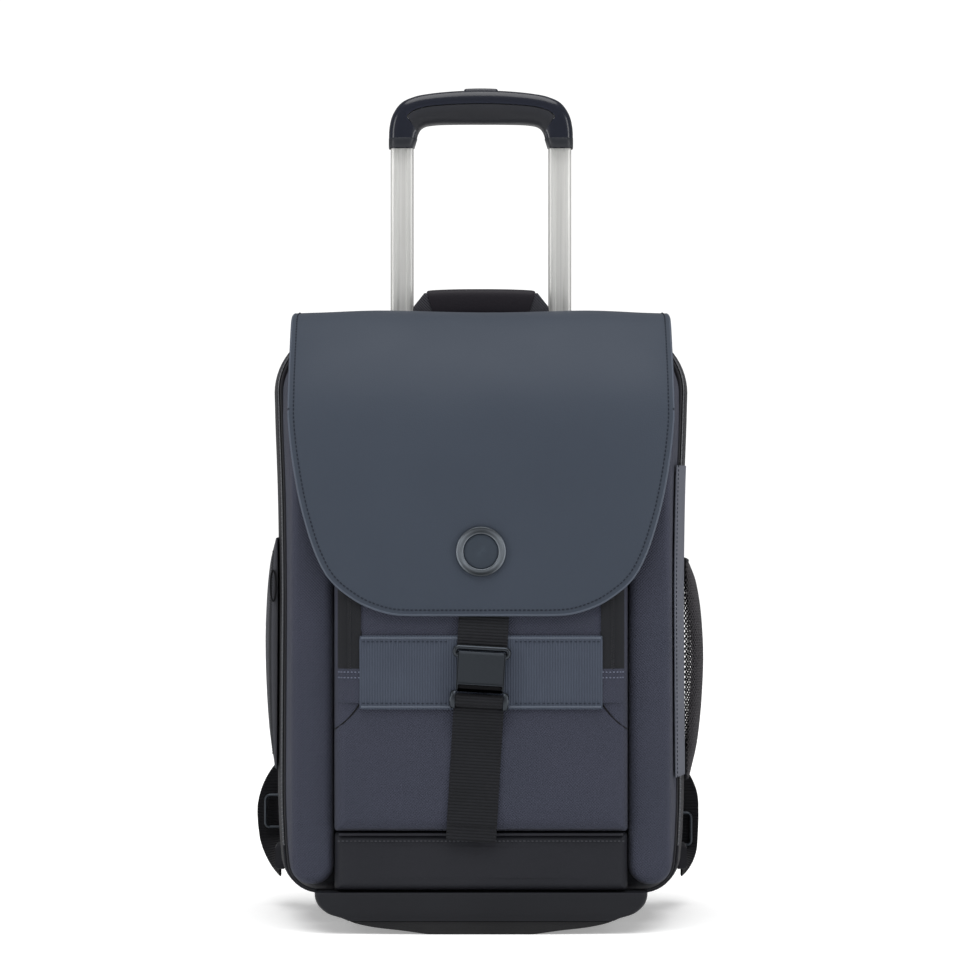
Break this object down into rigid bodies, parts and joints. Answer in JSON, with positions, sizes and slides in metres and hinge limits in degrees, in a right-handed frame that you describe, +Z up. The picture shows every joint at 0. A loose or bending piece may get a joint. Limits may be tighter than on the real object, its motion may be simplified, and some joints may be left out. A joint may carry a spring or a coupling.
{
  "type": "wheeled backpack",
  "caption": "Wheeled backpack with a strapped front flap, front and side pockets, shoulder straps, a telescoping trolley handle, a front foot and rear wheels.",
  "frame": {"origin": "middle of the bounding box's bottom face, on the floor", "axes": "+Z up, -Y is the front with the flap, +X is to the right seen from the front"},
  "size_m": [0.3815, 0.2595, 0.6926],
  "materials": {
    "navy_cloth": "smooth coated navy cloth, matte",
    "black_cloth": "black woven cloth",
    "slate_cloth": "slate blue woven cloth",
    "flap_cloth": "slate grey coated flap with stitched edge",
    "padding": "padded black mesh cloth",
    "netting": "stretch net",
    "webbing": "ribbed black webbing",
    "zip_cloth": "black zip tape and coil",
    "grip_plastic": "glossy dark plastic",
    "matte_plastic": "fine textured black plastic",
    "foot_plastic": "satin black moulding",
    "tyre_rubber": "solid black wheel rubber",
    "tube_metal": "satin anodised with long flutes",
    "badge_metal": "dark satin metal",
    "buckle_metal": "blackened metal"
  },
  "bodies": {
    "bag": {"front_shell": "navy_cloth", "front_pocket": "navy_cloth", "zip_pocket": "navy_cloth", "side_column_left": "navy_cloth", "side_column_right": "navy_cloth", "pocket_tab_left": "navy_cloth", "pocket_tab_right": "navy_cloth", "zip_band": "black_cloth", "rear_shell": "black_cloth", "back_panel": "black_cloth", "bottom_panel": "black_cloth", "pocket_band": "slate_cloth", "storm_flap": "slate_cloth", "flap": "flap_cloth", "badge_inset": "flap_cloth", "carry_handle_pad": "padding", "back_pad_left": "padding", "back_pad_right": "padding", "shoulder_strap_left": "padding", "shoulder_strap_right": "padding", "mesh_pocket": "netting", "closure_strap_upper": "webbing", "closure_strap_lower": "webbing", "buckle_roll": "webbing", "carry_web_left": "webbing", "carry_web_right": "webbing", "strap_web_left": "webbing", "strap_web_right": "webbing", "strap_tab_left": "webbing", "strap_tab_right": "webbing", "pocket_zip_puller": "webbing", "zip_chain": "zip_cloth", "zip_tape_left": "zip_cloth", "zip_tape_right": "zip_cloth", "tube_collar_left": "matte_plastic", "tube_collar_right": "matte_plastic", "trolley_base": "matte_plastic", "wheel_housing_left": "matte_plastic", "wheel_housing_right": "matte_plastic", "strap_slider_left": "matte_plastic", "strap_slider_right": "matte_plastic", "foot": "foot_plastic", "tube_outer_left": "tube_metal", "tube_outer_right": "tube_metal", "badge_ring": "badge_metal", "closure_ring": "buckle_metal", "buckle_plate": "buckle_metal"},
    "handle_lower": {"tube_lower_left": "tube_metal", "tube_lower_right": "tube_metal"},
    "handle_upper": {"tube_upper_left": "tube_metal", "tube_upper_right": "tube_metal", "grip": "grip_plastic", "grip_insert": "matte_plastic"},
    "button": {"release_button": "grip_plastic"},
    "wheel_left": {"tyre_left": "tyre_rubber", "hub_left": "matte_plastic"},
    "wheel_right": {"tyre_right": "tyre_rubber", "hub_right": "matte_plastic"}
  },
  "joints": [
    {"name": "trolley_lower_slide", "type": "slide", "parent": "bag", "child": "handle_lower", "axis": [0, 0, 1], "range_m": [0, 0.24]},
    {"name": "trolley_upper_slide", "type": "slide", "parent": "handle_lower", "child": "handle_upper", "axis": [0, 0, 1], "range_m": [-0.1365, 0.1035]},
    {"name": "release_button_press", "type": "slide", "parent": "handle_upper", "child": "button", "axis": [0, 0, -1], "range_m": [0, 0.003], "stiffness_N_per_m": 400, "springref_m": -0.001},
    {"name": "wheel_left_spin", "type": "hinge", "parent": "bag", "child": "wheel_left", "pos_m": [-0.107, 0.075, 0.03], "axis": [1, 0, 0], "continuous": true},
    {"name": "wheel_right_spin", "type": "hinge", "parent": "bag", "child": "wheel_right", "pos_m": [0.107, 0.075, 0.03], "axis": [1, 0, 0], "continuous": true}
  ]
}
